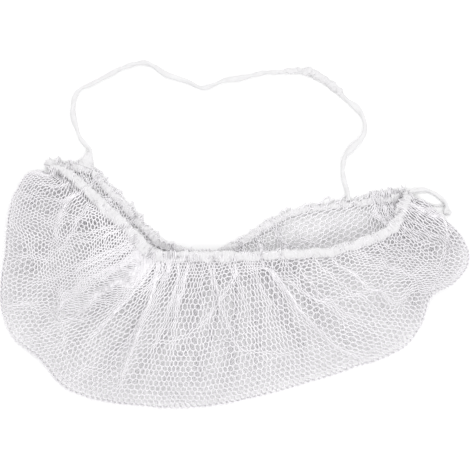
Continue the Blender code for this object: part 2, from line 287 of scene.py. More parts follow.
pouch = {
    "wall": 0.001,
    "rise": 0.01,
    "foldHeight": 0.0036,
    "backHeight": 0.0017,    # of the back layer, which touches the table only here and there
    "pleatHeight": 0.004,
    "pleatWidth": 0.0066,
    "pleatEdge": 2.5,        # how steeply a pleat falls off at its sides
    "squareStart": 0.22,
    "straightEnd": 0.35,
    "foldRoundness": 0.75,
    "crest": 0.85,
    "dropEnd": 0.12,
    "turnStart": 0.72,
    "turnPower": 2.2,
    "layerGap": 0.0012,      # between the two layers at the ends of the mouth
}
band = {
    "width": 0.005,
    "thickness": 0.003,
    "lift": 0.0105,
}


def netPlace(x, y, height):
    return Vector((netWidth * (x / 1000), netDepth * (y / 1000), height))


bandHeight = band["thickness"] / 2
frontBand = [netPlace(row[0], row[1], bandHeight + band["lift"] * row[6]) for row in sections]
backBand = [netPlace(row[4], row[5], bandHeight) for row in sections]
foldLine = [netPlace(row[2], row[3], pouch["foldHeight"]) for row in sections]
puffs = [row[7] for row in sections]


def hangAt(line, index):
    # level direction in which the net leaves the band
    ahead = line[min(index + 1, last)] - line[max(index - 1, 0)]
    return Vector((ahead.y, -ahead.x, 0)).normalized()


def endHang(neighbour):
    return (hangAt(frontBand, neighbour) + hangAt(backBand, neighbour)).normalized()


frontHangs = [endHang(1)] + [hangAt(frontBand, k) for k in range(1, last)] + [endHang(last - 1)]
backHangs = [hangAt(backBand, k) for k in range(1, last)]
rimLine = frontBand + backBand[last - 1:0:-1]
rimHangs = frontHangs + backHangs[::-1]


def rimAt(place):
    # middle of the band and its hang; places past the last section run back along the rear
    middle = splinePoint(rimLine, place, True)
    middle.z = max(middle.z, bandHeight)
    return middle, splinePoint(rimHangs, place, True).normalized()


def rearPlace(section):
    return 2 * last - section


def netEdge(place):
    middle, hang = rimAt(place)
    return middle + hang * (band["width"] / 2 + pouch["wall"] / 2 + clearance), hang


def pleatLift(x, y):
    total = 0.0
    for fromX, fromY, toX, toY, height, width in pleats:
        start = (fromX / 1000 * netWidth, fromY / 1000 * netDepth)
        end = (toX / 1000 * netWidth, toY / 1000 * netDepth)
        off = nearSegment(x, y, *start, *end)[1] / (pouch["pleatWidth"] * width)
        total += pouch["pleatHeight"] * height * exp(-pouch["pleatEdge"] * off * off)
    return total


def planPoint(edge, hang, fold, share):
    reach = (fold - edge).length
    lead = edge + hang * (pouch["squareStart"] * reach)
    arrive = fold + (edge - fold) * pouch["straightEnd"]
    even = between(share, sin(pi / 2 * share), pouch["foldRoundness"])
    rest = 1 - even
    return (
        edge * rest**3 + 3 * lead * rest**2 * even + 3 * arrive * rest * even**2 + fold * even**3
    )


def frontPoint(section, share):
    # front layer, share 0 at the rim and 1 at the fold
    edge, hang = netEdge(section)
    fold = splinePoint(foldLine, section)
    point = planPoint(edge, hang, fold, share)
    puff = max(splinePoint(puffs, section), 0.0)
    window = sin(pi * clamp(share) ** pouch["crest"])
    height = between(edge.z, fold.z, share**2)
    height += pouch["rise"] * puff * window
    height += pleatLift(point.x, point.y) * window * min(1.0, 2 * puff)
    point.z = height
    return point


def backPoint(section, share):
    # back layer: drops from the rim, lies flat, turns up into the fold
    edge, hang = netEdge(rearPlace(section))
    fold = splinePoint(foldLine, section)
    point = planPoint(edge, hang, fold, share)
    ground = pouch["backHeight"]
    drop = max(0.0, 1 - share / pouch["dropEnd"])
    turn = max(0.0, (share - pouch["turnStart"]) / (1 - pouch["turnStart"]))
    point.z = ground + (edge.z - ground) * drop**2 + (fold.z - ground) * turn ** pouch["turnPower"]
    fromEnd = min(section, last - section)
    if fromEnd < 1:
        joined = (1 - fromEnd) ** 3
        point.z = between(point.z, frontPoint(section, share).z - pouch["layerGap"], joined)
    return point


# Finishes


def newFinish(name):
    finish = bpy.data.materials.new(name)
    finish.use_nodes = True
    return finish, finish.node_tree.nodes["Principled BSDF"]


def addNode(finish, kind, x, y):
    node = finish.node_tree.nodes.new("ShaderNode" + kind)
    node.location = (x, y)
    return node


def setInputs(node, values):
    for name, value in values.items():
        node.inputs[name].default_value = value


def noiseNode(finish, coordinates, scale, detail, x, y):
    made = addNode(finish, "TexNoise", x, y)
    setInputs(made, {"Scale": scale, "Detail": detail, "Roughness": 0.55})
    finish.node_tree.links.new(coordinates.outputs["Object"], made.inputs["Vector"])
    return made


def toneNode(finish, source, x, y, tones, ends):
    # the colour of the finish, between two tones as the noise rises from one end to the other
    ramp = addNode(finish, "ValToRGB", x, y)
    for element, tone, end in zip(ramp.color_ramp.elements, tones, ends):
        element.position = end
        element.color = (*tone, 1.0)
    shader = finish.node_tree.nodes["Principled BSDF"]
    finish.node_tree.links.new(source.outputs["Fac"], ramp.inputs["Fac"])
    finish.node_tree.links.new(ramp.outputs["Color"], shader.inputs["Base Color"])


def whiteFinish(name, look):
    # white yarn: faint patches of tint, fine fibres in the bump, a soft sheen
    finish, shader = newFinish(name)
    links = finish.node_tree.links
    setInputs(shader, {
        "Metallic": 0.0, "IOR": 1.53, "Specular IOR Level": look["specular"],
        "Sheen Weight": look["sheen"], "Sheen Roughness": 0.4, "Subsurface Weight": 0.0,
    })
    coordinates = addNode(finish, "TexCoord", -1100, 0)
    patches = noiseNode(finish, coordinates, look["patchScale"], 3.0, -850, 250)
    toneNode(finish, patches, -600, 250, (look["shade"], look["colour"]), (0.3, 0.7))
    worn = addNode(finish, "MapRange", -600, -50)
    setInputs(worn, {"To Min": look["roughness"] - 0.1, "To Max": look["roughness"] + 0.1})
    links.new(patches.outputs["Fac"], worn.inputs["Value"])
    links.new(worn.outputs["Result"], shader.inputs["Roughness"])
    fibres = noiseNode(finish, coordinates, look["fibreScale"], 4.0, -850, -300)
    bump = addNode(finish, "Bump", -350, -300)
    setInputs(bump, {"Strength": look["bump"], "Distance": look["bumpDepth"]})
    links.new(fibres.outputs["Fac"], bump.inputs["Height"])
    links.new(bump.outputs["Normal"], shader.inputs["Normal"])
    return finish


yarnLook = {
    "patchScale": 45.0,
    "roughness": 0.5,
    "specular": 0.5,
    "sheen": 0.15,
    "fibreScale": 2600.0,
    "bump": 0.5,
    "bumpDepth": 0.0001,
}
# the back layer's yarn is the front's yarn painted a little darker: painted shade for the layer that
# lies under the front
rearPaintedShadeFinish = whiteFinish("whiteNylonYarnRearPaintedShade", {
    **yarnLook,
    "colour": (0.84, 0.827, 0.848),
    "shade": (0.78, 0.766, 0.791),
})
netFinish = whiteFinish("whiteNylonYarn", {
    **yarnLook,
    "colour": (0.862, 0.847, 0.869),
    "shade": (0.807, 0.791, 0.817),
})
bandFinish = whiteFinish("whiteGatheredCasing", {
    "colour": (0.695, 0.689, 0.699),
    "shade": (0.65, 0.643, 0.654),
    "patchScale": 160.0,
    "roughness": 0.65,
    "specular": 0.3,
    "sheen": 0.3,
    "fibreScale": 1500.0,
    "bump": 0.6,
    "bumpDepth": 0.0002,
})
cordFinish = whiteFinish("whiteRolledElastic", {
    "colour": (0.69, 0.687, 0.693),
    "shade": (0.64, 0.637, 0.643),
    "patchScale": 220.0,
    "roughness": 0.6,
    "specular": 0.35,
    "sheen": 0.25,
    "fibreScale": 1800.0,
    "bump": 0.6,
    "bumpDepth": 0.00015,
})
print("finishes made")


def finished(piece, finish):
    piece.data.materials.clear()
    piece.data.materials.append(finish)
    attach(piece, "root")
    return piece


# Cords: the head loop from its tab to the rear of the rim, and the small loop on the right

headLoop = {
    "width": 0.0029,
    "thickness": 0.0019,
    "height": 0.00185,       # of its middle, so that its twists clear the table
    "turnEvery": 0.034,
    "unevenness": 0.12,
    "underTab": 0.0012,      # how far it runs on under the tab, and straight out of it
    "straightOut": 0.0036,
    "spliceFrom": 0.172,
    "spliceLength": 0.046,
    "spliceWidth": 0.0048,
    "spliceRise": 0.0006,
    "spliceLumps": 8,
    "spliceCrumples": ((0.00125, 0.0042, 8), (0.00085, 0.0017, 4)),
    "tabSection": 2.45,
    "tabLength": 0.0046,
    "seatSection": 16.15,
    "spacing": 0.0014,       # of the points that it follows
    "rise": 0.0006,          # of the limp cord from the table, here and there
}
# Where the cord is wider: distance along it, reach and how much more
headLoopSwells = (
    (0.03, 0.006, 0.25), (0.098, 0.008, 0.2), (0.15, 0.006, 0.2), (0.227, 0.006, 0.45),
    (0.257, 0.0055, 0.5),
)
headLoopRoute = (
    (-0.0921, 0.0879), (-0.0945, 0.0939), (-0.0963, 0.0999), (-0.0969, 0.1065), (-0.0957, 0.1131),
    (-0.0921, 0.1179), (-0.0861, 0.1206), (-0.0741, 0.1269), (-0.0675, 0.1302), (-0.0603, 0.1326),
    (-0.0537, 0.1335), (-0.0477, 0.1311), (-0.0417, 0.1269), (-0.0345, 0.1243), (-0.0279, 0.1221),
    (-0.0219, 0.1191), (-0.0177, 0.1185), (-0.0123, 0.1203), (-0.0051, 0.1233), (0.0033, 0.1242),
    (0.0177, 0.1275), (0.0273, 0.1278), (0.0357, 0.1290), (0.0429, 0.1284), (0.0495, 0.1257),
    (0.0555, 0.1221), (0.0615, 0.1173), (0.0663, 0.1119), (0.0723, 0.1074), (0.0768, 0.1014),
    (0.0783, 0.0945), (0.0759, 0.0879), (0.0705, 0.0828), (0.0663, 0.0777), (0.0648, 0.0705),
    (0.0657, 0.0633), (0.0672, 0.0573),
)
tab = {
    "height": 0.0017,
    "underRim": 0.0016,      # how far it reaches under the rim and over the cord
    "overCord": 0.003,
    "radius": 0.0042,
    "endRadius": 0.0018,
    "crumples": ((0.0005, 0.0018, 11),),
}
sideLoop = {
    "diameter": 0.0029,
    "flatness": 0.7,
    "height": 0.0015,
    "spacing": 0.001,
    "turnEvery": 0.026,
    "unevenness": 0.08,
    "strand": 0.0011,
    "strandFlatness": 0.85,
    "strandSpacing": 0.0008,
    "strandSag": 0.0011,
    "strandTurnEvery": 0.02,
    "strandUnevenness": 0.12,
    "strandSection": 21.7,
    "strandRise": 0.0006,    # from the table, at the fold and at its corner
    "cornerRise": 0.0002,
    "knot": 0.0042,
    "knotReach": 0.0012,     # of the cord into it
    "knotHeight": 0.0019,
    "knotCrumples": ((0.0004, 0.0013, 6),),
    "knotSection": 20.9,
}
sideLoopRoute = ((0.1113, 0.0574), (0.1173, 0.0564), (0.123, 0.0531), (0.1269, 0.0486))


def smoothRoute(points, spacing):
    # evenly spaced points on the smooth curve through those given
    fine = [splinePoint(points, step / 20) for step in range(20 * (len(points) - 1) + 1)]
    lengths = lengthTable(fine)
    count = max(2, round(lengths[-1] / spacing))
    return [valueAt(fine, lookUp(lengths, lengths[-1] * k / count)) for k in range(count + 1)]


def routeLength(points):
    return lengthTable(points)[-1]


def swellAt(swells, walked):
    return sum(more * exp(-(((walked - at) / reach) ** 2)) for at, reach, more in swells)


def makeCord(name, points, width, thickness, turnEvery, unevenness, finish, swells=()):
    # a flat cord that rolls over itself as it runs
    curve = bpy.data.curves.new(name, "CURVE")
    curve.dimensions = "3D"
    curve.bevel_depth = thickness / 2
    curve.bevel_resolution = 3
    curve.extrude = (width - thickness) / 2
    curve.use_fill_caps = True
    spline = curve.splines.new("POLY")
    spline.points.add(len(points) - 1)
    for place, point, walked in zip(spline.points, points, lengthTable(points)):
        place.co = (*point, 1.0)
        wander = noiseAt(walked, 0.0, turnEvery * 0.8, 3)
        place.tilt = 2 * pi * (walked / turnEvery + 0.45 * wander)
        swell = noiseAt(walked, 0.01, 0.0045, 5) + 0.6 * noiseAt(walked, 0.02, 0.0018, 6)
        place.radius = 1 + unevenness * swell + swellAt(swells, walked)
    piece = bpy.data.objects.new(name, curve)
    bpy.context.scene.collection.objects.link(piece)
    return finished(piece, finish)


def outwardSeat(place, gap):
    middle, hang = rimAt(place)
    return middle - hang * (band["width"] / 2 + gap), -hang


def besideFold(section, gap, height):
    here = splinePoint(foldLine, section)
    along = splinePoint(foldLine, section + 0.1) - splinePoint(foldLine, section - 0.1)
    outward = Vector((along.y, -along.x, 0)).normalized()
    place = here + outward * (pouch["wall"] / 2 + gap)
    place.z = height
    return place, outward


tabSeat, tabOutward = outwardSeat(rearPlace(headLoop["tabSection"]), clearance)
tabEnd = tabSeat + tabOutward * (headLoop["tabLength"] + 2 * clearance)


def headLoopPoints():
    start = tabEnd - tabOutward * headLoop["underTab"]
    lead = tabEnd + tabOutward * headLoop["straightOut"]
    seat = outwardSeat(rearPlace(headLoop["seatSection"]), 0.0)[0]
    places = (start, lead, *headLoopRoute, seat)
    return smoothRoute([atHeight(place, headLoop["height"]) for place in places], headLoop["spacing"])


def makeHeadLoop():
    points = headLoopPoints()
    walked = 0.0
    for index, point in enumerate(points):
        if index:
            walked += (point - points[index - 1]).length
        # it rises a little where it is limp and where it is wider
        point.z += headLoop["rise"] * max(0.0, noiseAt(point.x, point.y, 0.02, 9))
        point.z += swellAt(headLoopSwells, walked) * headLoop["width"] / 2
    piece = makeCord(
        "headLoop", points, headLoop["width"], headLoop["thickness"],
        headLoop["turnEvery"], headLoop["unevenness"], cordFinish, headLoopSwells,
    )
    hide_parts("head_loop_left", "head_loop_right")
    return piece, points


def crumple(piece, crushes):
    # moves every point by smooth noises, as crushed cloth, but not into the table; each has
    # its amount, size and seed
    for amount, size, seed in crushes:
        for vertex in piece.data.vertices:
            shift = noise.noise_vector(vertex.co / size + Vector((seed, -seed, 2.7 * seed)))
            vertex.co += shift * amount
    for vertex in piece.data.vertices:
        vertex.co.z = max(vertex.co.z, tableGap)


def sleeveAlong(name, points, radiusAt, segments, rings, finish):
    # a closed sleeve round a stretch of cord, from a sphere whose rings are spread along it
    deselectAll()
    bpy.ops.mesh.primitive_uv_sphere_add(segments=segments, ring_count=rings, radius=1.0)
    piece = justAdded(name)
    for vertex in piece.data.vertices:
        share = atan2(hypot(vertex.co.x, vertex.co.y), vertex.co.z) / pi
        turn = atan2(vertex.co.y, vertex.co.x)
        place = share * (len(points) - 1)
        middle = splinePoint(points, place)
        along = splinePoint(points, place + 0.3) - splinePoint(points, place - 0.3)
        along.normalize()
        side = Vector((-along.y, along.x, 0)).normalized()
        up = along.cross(side)
        radius = radiusAt(share, turn) * min(1.0, hypot(vertex.co.x, vertex.co.y) * 5)
        vertex.co = middle + side * (radius * cos(turn)) + up * (radius * sin(turn))
    facedOutwards(piece)
    return finished(piece, finish)


def makeSplice(points):
    # where the cord's two ends overlap in a crinkled casing
    low = headLoop["spliceFrom"]
    high = low + headLoop["spliceLength"]
    rise = Vector((0, 0, headLoop["spliceRise"]))
    walks = zip(points, lengthTable(points))
    middle = [point + rise for point, walked in walks if low <= walked <= high]

    def radiusAt(share, turn):
        lump = share * headLoop["spliceLumps"] + 0.12 * sin(2 * turn + 5 * share)
        crinkle = 0.92 + 0.24 * sin(2 * pi * lump)
        crinkle += 0.16 * noiseAt(share * 0.03, turn * 0.0009, 0.0022, 2)
        swell = 0.62 + 0.42 * easedStep(0.3, 0.46, share) - 0.22 * easedStep(0.6, 1.0, share)
        return headLoop["spliceWidth"] / 2 * crinkle * swell

    piece = sleeveAlong("headLoopSplice", middle, radiusAt, 18, 90, bandFinish)
    crumple(piece, headLoop["spliceCrumples"])
    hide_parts("head_loop_splice")
    return piece


def makeTab():
    # sewn tab between the cord's left end and the rim
    start = tabSeat - tabOutward * tab["underRim"]
    end = tabEnd + tabOutward * tab["overCord"]
    points = [atHeight(between(start, end, k / 8), tab["height"]) for k in range(9)]

    def radiusAt(share, turn):
        wide = between(tab["radius"], tab["endRadius"], easedStep(0.25, 0.95, share))
        wide *= 1 + 0.1 * sin(5 * turn + 9 * share)
        flat = 1 - 0.52 * abs(sin(turn)) ** 1.5 * (1 - easedStep(0.5, 1.0, share))
        return wide * flat

    piece = sleeveAlong("sewnTab", points, radiusAt, 24, 30, bandFinish)
    crumple(piece, tab["crumples"])
    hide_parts("left_tab")
    return piece


def makeSideLoop():
    middle, hang = rimAt(last)
    start = middle + Vector((-hang.y, hang.x, 0)) * (band["thickness"] / 2)
    knotRadius = sideLoop["knot"] / 2
    knot, outward = besideFold(sideLoop["knotSection"], knotRadius + clearance, knotRadius)
    end = knot + outward * sideLoop["knotReach"]
    height = sideLoop["height"]
    route = [start] + [atHeight(place, height) for place in (*sideLoopRoute, end)]
    points = smoothRoute(route, sideLoop["spacing"])
    for point in points:
        point.z = max(point.z, height)
    width = sideLoop["diameter"]
    loop = makeCord(
        "sideLoop", points, width, width * sideLoop["flatness"],
        sideLoop["turnEvery"], sideLoop["unevenness"], cordFinish,
    )
    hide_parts("side_loop")

    width = sideLoop["strand"]
    rise = width / 2 + sideLoop["strandRise"]
    strandStart = besideFold(sideLoop["strandSection"], 0.0, rise)[0]
    corner = atHeight(sideLoopRoute[-1], width / 2 + sideLoop["cornerRise"])
    sagging = between(strandStart, corner, 0.5) + Vector((0, -sideLoop["strandSag"], 0))
    strandPoints = smoothRoute([strandStart, sagging, corner], sideLoop["strandSpacing"])
    strand = makeCord(
        "sideLoopStrand", strandPoints, width, width * sideLoop["strandFlatness"],
        sideLoop["strandTurnEvery"], sideLoop["strandUnevenness"], cordFinish,
    )
    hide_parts("side_loop_strand")

    tail = [end + outward * (0.0006 * k) + Vector((0.0004 * k, -0.0007 * k, 0)) for k in range(-3, 4)]
    tail = [atHeight(point, sideLoop["knotHeight"]) for point in tail]

    def radiusAt(share, turn):
        return knotRadius * (0.95 - 0.35 * share) * (1 + 0.14 * sin(3 * turn + 8 * share))

    tie = sleeveAlong("sideLoopKnot", tail, radiusAt, 18, 24, cordFinish)
    crumple(tie, sideLoop["knotCrumples"])
    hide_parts("side_loop_knot")
    return loop, points, strand, tie


headLoopPiece, headLoopLine = makeHeadLoop()
splicePiece = makeSplice(headLoopLine)
tabPiece = makeTab()
sideLoopPiece, sideLoopLine, strandPiece, tiePiece = makeSideLoop()
routeLength(headLoopLine)
tuple(sideLoopLine[0])
routeLength(sideLoopLine)
print("cords laid: head loop %.0f mm, side loop %.0f mm" % (
    1000 * routeLength(headLoopLine), 1000 * routeLength(sideLoopLine)))


# The knitted net: a flat honeycomb, cut to the pouch, gathered and draped over its two layers

knit = {
    "cellWidth": 0.0035,
    "rowHeight": 0.00335,
    "strand": 0.00126,       # where the yarn is at its thickest
    "lowest": 0.00047,       # of the strands' middles, over the table
    "wrapAcross": 0.0052,    # the net goes on over the elastic: width and thickness of its wrap
    "wrapThick": 0.0025,
    "wrapLength": 0.0055,
    "rearWrapLength": 0.0058,
    "climb": 0.0016,         # from the rim's side up to its wrap
    "perTurn": 0.0017,       # of the wrap, for each radian round the elastic
    "lastTurn": 2.5,
    "ragged": 0.0006,
    "rimLift": 0.0009,
    "rimLiftReach": 0.1,
    "gatherLift": 0.0008,
    "depth": 0.105,          # of one layer where it is deepest, from fold to elastic
    "rows": 50,
    "sideMargin": 0.2,       # columns left out at either end
}
flatRadius = knit["cellWidth"] / sqrt(3)
fineSteps = 20
foldFine = [splinePoint(foldLine, k / fineSteps) for k in range(last * fineSteps + 1)]

# How wide the cells are drawn along the fold: section, width in millimetres
foldCellWidths = (
    (0, 2.2), (3.6, 2.35), (6.0, 2.8), (8.4, 3.4), (14.0, 3.4), (16.0, 3.0), (17.6, 2.5), (19.5, 2.7),
    (22, 3.2),
)
# Where the column that starts at a section of the fold meets the rim
rimSections = {
    "front": (
        (0, 0), (1.35, 1.3), (2.3, 2.5), (3.0, 3.6), (3.6, 4.6), (4.2, 5.5), (4.8, 6.1), (5.3, 6.5),
        (5.8, 6.9), (6.3, 7.25), (6.8, 7.6), (7.3, 7.9), (8.2, 8.3), (9.04, 8.7), (10.02, 9.2),
        (10.74, 10.12), (11.26, 10.8), (11.84, 11.42), (12.45, 11.98), (13.08, 12.47),
        (13.71, 12.89), (14.41, 13.35), (15.26, 14.09), (16.34, 14.97), (17.55, 15.88),
        (18.79, 16.99), (19.45, 17.85), (20.07, 18.72), (20.71, 19.87), (21.35, 21.16), (22, 22),
    ),
    "back": (
        (0, 0), (1.35, 0.85), (3.01, 2.16), (4.17, 3.54), (5.31, 4.7), (6.32, 5.72), (7.27, 6.9),
        (8.2, 8.22), (9.04, 9.38), (9.73, 10.1), (10.51, 10.92), (11.26, 11.5), (12.14, 12.35),
        (13.08, 12.9), (14.05, 13.5), (14.9, 14.2), (16.1, 17.2), (17.0, 17.9), (17.55, 18.3),
        (18.17, 18.7), (18.79, 19.3), (19.45, 19.9), (20.07, 20.4), (20.71, 21.0), (21.35, 21.5),
        (22, 22),
    ),
}
# Rows crowded towards the rim: section at the fold, length of the crowded zone, crowding
crowdedRows = {
    "front": (
        (0, 0.06, 0.58), (3.6, 0.06, 0.55), (4.8, 0.06, 0.51), (6.8, 0.06, 0.51),
        (9.4, 0.016, 0.7), (10.2, 0.012, 0.68), (13.0, 0.01, 0.68), (15.0, 0.02, 0.74),
        (17.4, 0.06, 0.68), (19.5, 0.06, 0.72), (22, 0.06, 0.85),
    ),
    "back": (
        (0, 0.03, 0.6), (3.6, 0.024, 0.46), (8.0, 0.022, 0.44), (10.0, 0.02, 0.54),
        (11.5, 0.015, 0.8), (14.2, 0.03, 0.74), (17.0, 0.03, 0.74), (18.6, 0.05, 0.72),
        (22, 0.06, 0.7),
    ),
}

foldColumns = [0.0]
for k in range(last * fineSteps):
    width = tableRow(foldCellWidths, (k + 0.5) / fineSteps)[0] / 1000
    foldColumns.append(foldColumns[-1] + (foldFine[k + 1] - foldFine[k]).length / width)
columnsInAll = foldColumns[-1]


def foldSection(column):
    return lookUp(foldColumns, column) / fineSteps


def rimSectionOf(layer, section):
    # evened out, so that neighbouring cells stay alike
    spots = [clamp(section + step, 0, last) for step in (-0.6, -0.3, 0, 0.3, 0.6)]
    spread = min(1.0, 2 * section, 2 * (last - section))
    evened = sum(tableRow(rimSections[layer], spot)[0] for spot in spots) / len(spots)
    return between(tableRow(rimSections[layer], section)[0], evened, spread)


rimPlaces = {
    layer: [rimSectionOf(layer, k / fineSteps) for k in range(last * fineSteps + 1)]
    for layer in ("front", "back")
}


def rimPlaceOf(layer, column):
    return valueAt(rimPlaces[layer], lookUp(foldColumns, column))


# How soon the front's columns spread out from the rim: section at the fold, power
spreading = ((0, 1.4), (4.0, 1.4), (5.2, 0.9), (7.6, 0.9), (9.0, 1.4), (18, 1.4), (22, 1.0))
# How much the back layer's columns bunch at the rear of the rim, by section at the fold
backBunches = (
    (0, 1.0), (9, 1.0), (12, 1.0), (14.0, 0.9), (15.0, 0.1), (16.0, 0.1), (16.8, 0.9), (22, 0.7),
)


def sectionOf(layer, column, share):
    # the columns run from the fold to the rim, and bunch there
    pull = 1 - easedStep(0.22, 0.85, share)
    if layer == "front":
        bunch = 0.45 * sin(2 * pi * (column / 5.6 + 0.7 * sin(column / 9.3)))
        bunch += 0.25 * sin(2 * pi * (column / 3.1 + 0.4 * sin(column / 4.7)))
        pull = (1 - share) ** tableRow(spreading, foldSection(column))[0]
    else:
        bunch = 1.15 * sin(2 * pi * (column / 7.7 + 0.5 * sin(column / 12.1)))
        bunch *= tableRow(backBunches, foldSection(column))[0]
    inner = clamp(column + bunch, 0.0, columnsInAll)
    return between(foldSection(column), rimPlaceOf(layer, inner), pull)


layerPoints = {"front": frontPoint, "back": backPoint}
pathCache = {}
pathSteps = 26


def columnPath(layer, column):
    # distances from the fold at even shares, up to the rim
    key = (layer, round(4 * column))
    if key not in pathCache:
        points = []
        for k in range(pathSteps + 1):
            share = 1 - k / pathSteps
            points.append(layerPoints[layer](sectionOf(layer, column, share), share))
        pathCache[key] = lengthTable(points)
    return pathCache[key]


def crowdedZone(layer, column):
    # length over the surface from the fold to the rim, its crowded last part and the crowding
    full = columnPath(layer, column)[-1]
    zone, crowding = tableRow(crowdedRows[layer], foldSection(column))
    return full, min(zone, 0.95 * full), crowding


def alongPath(layer, column, distance):
    # distance over the surface of what lies that far along the unstretched net
    full, zone, crowding = crowdedZone(layer, column)
    if distance <= full - zone:
        return distance
    return full - zone + (distance - full + zone) * crowding


def netReach(layer, column):
    # length of the unstretched net from the fold to the rim
    full, zone, crowding = crowdedZone(layer, column)
    return full - zone + zone / crowding


# Folds where a layer is drawn together into a bright line: reach, pull, and the line's places
# x y, all but the pull in millimetres
frontGathers = (
    # the fan from the left corner of the rim
    (6, 0.3, (-50, 19), (-66, 14), (-81, 8), (-93, 1), (-104, -9)),
    (5, 0.3, (-50, 14), (-64, 6), (-78, -4), (-87, -9)),
    (5, 0.3, (-50, 21), (-69, 22), (-84, 17), (-99, 8)),
    (6, 0.52, (-51, 11), (-59, 0), (-75, -19), (-88, -33)),
    (5.5, 0.66, (-45, 9), (-47, 0), (-52, -12), (-57, -24), (-62, -39), (-68, -57), (-72, -64)),
    # below the middle of the rim
    (4.5, 0.7, (-40, 13), (-43, 3)),
    (5, 0.58, (-29, 14), (-32, -2), (-35, -14), (-39, -28)),
    (4.5, 0.62, (-22, 13), (-21, 0), (-23, -9)),
    (4.5, 0.6, (-4, 0), (-10, -11), (-17, -21), (-27, -28), (-39, -32), (-51, -34)),
    (5, 0.76, (-14, 14), (-11, 0), (-8, -12), (-3, -22), (-2, -30)),
    (4.5, 0.66, (-2, -29), (3, -38), (16, -40), (36, -41)),
    (4.5, 0.68, (1, 14), (0, 6), (-4, -3), (-8, -11)),
    (4, 0.55, (-2, -29), (-12, -33)),
    # the long diagonals
    (6.5, 0.84, (11, 14), (19, 9), (24, 3), (33, -9), (45, -22), (57, -33), (66, -39), (82, -46)),
    (5.5, 0.74, (17, 13), (27, 6), (39, -3), (51, -9), (60, -14), (68, -22)),
    (4, 0.6, (13, 10), (15, 0), (19, -7), (29, -16)),
    (4, 0.55, (21, -9), (18, -18)),
    (4.5, 0.66, (39, 16), (38, 7), (39, -2)),
    # the right part and its lobe
    (5, 0.7, (54, 17), (63, 12), (72, 7), (79, 0)),
    (5, 0.64, (46, -9), (66, -7), (84, -3), (96, 0)),
    (7, 0.62, (83, 0), (90, -7), (96, -15)),
    (7, 0.62, (108, 2), (99, -9), (90, -15)),
    (5.5, 0.32, (84, 18), (99, 9), (114, 4)),
    (5.5, 0.9, (124, 44), (127, 34), (127, 24), (123, 12), (120, 1), (117, -8)),
    # the left lobe
    (8, 0.66, (-93, 56), (-101, 48), (-106, 38), (-106.5, 27), (-106.5, 20)),
    (5, 0.7, (-106, 20), (-112, 16.5), (-129, 18), (-136, 14)),
    (5.5, 0.62, (-85, 49), (-93, 40), (-96, 32), (-101, 24), (-106, 19)),
    (6.5, 0.8, (-141, -13), (-129, -10.5), (-114, -10.5)),
    (5, 0.68, (-114, -10.5), (-106, -16), (-102, -22), (-101, -30), (-103, -39)),
    (5, 0.6, (-105, 2), (-102, -8), (-105, -17)),
    (4, 0.5, (-101, -20), (-93, -19), (-84, -21)),
    (4, 0.45, (-96, -52), (-88, -48), (-78, -50)),
)
backGathers = (
    (6, 0.55, (-90, 30), (-70, -50)),
    (6, 0.5, (-30, 10), (-20, -60)),
    (6, 0.5, (25, 0), (45, -50)),
    (6, 0.45, (85, 5), (95, -25)),
    (6, 0.45, (-130, 30), (-90, -30)),
    # seen through the open window
    (4, 0.6, (33, 40), (39, 30), (47, 22)),
    (4, 0.6, (22, 34), (31, 26), (36, 18)),
    (5, 0.5, (83, 48), (82, 36), (86, 26)),
    # between the two runs of the rim on the left
    (4, 0.6, (-84, 60), (-70, 47), (-58, 32)),
)
# Where the back layer stands up from the table
backRises = (
    (61, 33, 26, 13, 0.6), (-82, 56, 17, 17, 1.4), (-58, 31, 15, 13, 1.4),
    (-90, 63, 9, 9, 0.8), (-72, 44, 9, 9, 0.8), (-50, 24, 10, 9, 1.6),
)
gatherEnd = 2.2    # reaches from a fold to where it pulls no more


def preparedGather(reach, pull, *places):
    # in metres, with the length walked at each place and the box that the fold reaches
    line = [(x / 1000, y / 1000) for x, y in places]
    walked = [0.0]
    for (x0, y0), (x1, y1) in zip(line, line[1:]):
        walked.append(walked[-1] + hypot(x1 - x0, y1 - y0))
    margin = gatherEnd * reach / 1000
    box = (
        min(x for x, y in line) - margin, max(x for x, y in line) + margin,
        min(y for x, y in line) - margin, max(y for x, y in line) + margin,
    )
    return reach / 1000, pull, line, walked, box


gathersOf = {
    "front": [preparedGather(*row) for row in frontGathers],
    "back": [preparedGather(*row) for row in backGathers],
}


# The back layer bulges up against the front run of the rim: share of the room by section
# of the rim, and reach in metres
bulges = (
    (0, 0.5, 0.007), (2, 0.95, 0.009), (9, 0.95, 0.009), (11, 0.8, 0.007), (13, 0.6, 0.005),
    (17, 0.6, 0.005), (20, 0.9, 0.007), (22, 0.5, 0.006),
)
coarseRim = [splinePoint(frontBand, k / 3) for k in range(3 * last + 1)]


def bulgeAt(point):
    nearest = None
    for index, (first, second) in enumerate(zip(coarseRim, coarseRim[1:])):
        if abs(first.x - point.x) > 0.02:
            continue
        along, off = nearSegment(point.x, point.y, first.x, first.y, second.x, second.y)
        if nearest is None or off < nearest[0]:
            nearest = (off, (index + along) / 3, between(first.z, second.z, along))
    if nearest is None:
        return 0.0
    off, section, height = nearest
    room = max(0.0, height - 0.0024 - point.z)
    share, reach = tableRow(bulges, section)
    return room * share * exp(-((off / reach) ** 2))


# Where a layer is crushed, with how far its strands are moved as the height
crumples = {
    "front": ((-100, 45, 32, 32, 0.8), (98, 20, 26, 30, 1.1), (-85, 0, 32, 25, 0.8),
              (70, -2, 30, 16, 0.7)),
    "back": ((-80, 56, 17, 17, 1.7), (-58, 32, 17, 15, 1.7), (24, 27, 26, 14, 2.1),
             (88, 42, 14, 12, 0.9)),
}
crumpleSizes = (0.0052, 0.0026)
# How uneven the knit is: most shift in x and y, and the size of its waves for each
unevenKnit = ((0.0011, 0.021, 0.024), (0.0008, 0.0075, 0.007), (0.0003, 0.0023, 0.0023))
# and how it ripples up and down: height, size and noise seed
ripples = {
    "front": ((0.0012, 0.0085, 31), (0.0005, 0.0035, 32)),
    "back": ((0.0014, 0.012, 51),),
}


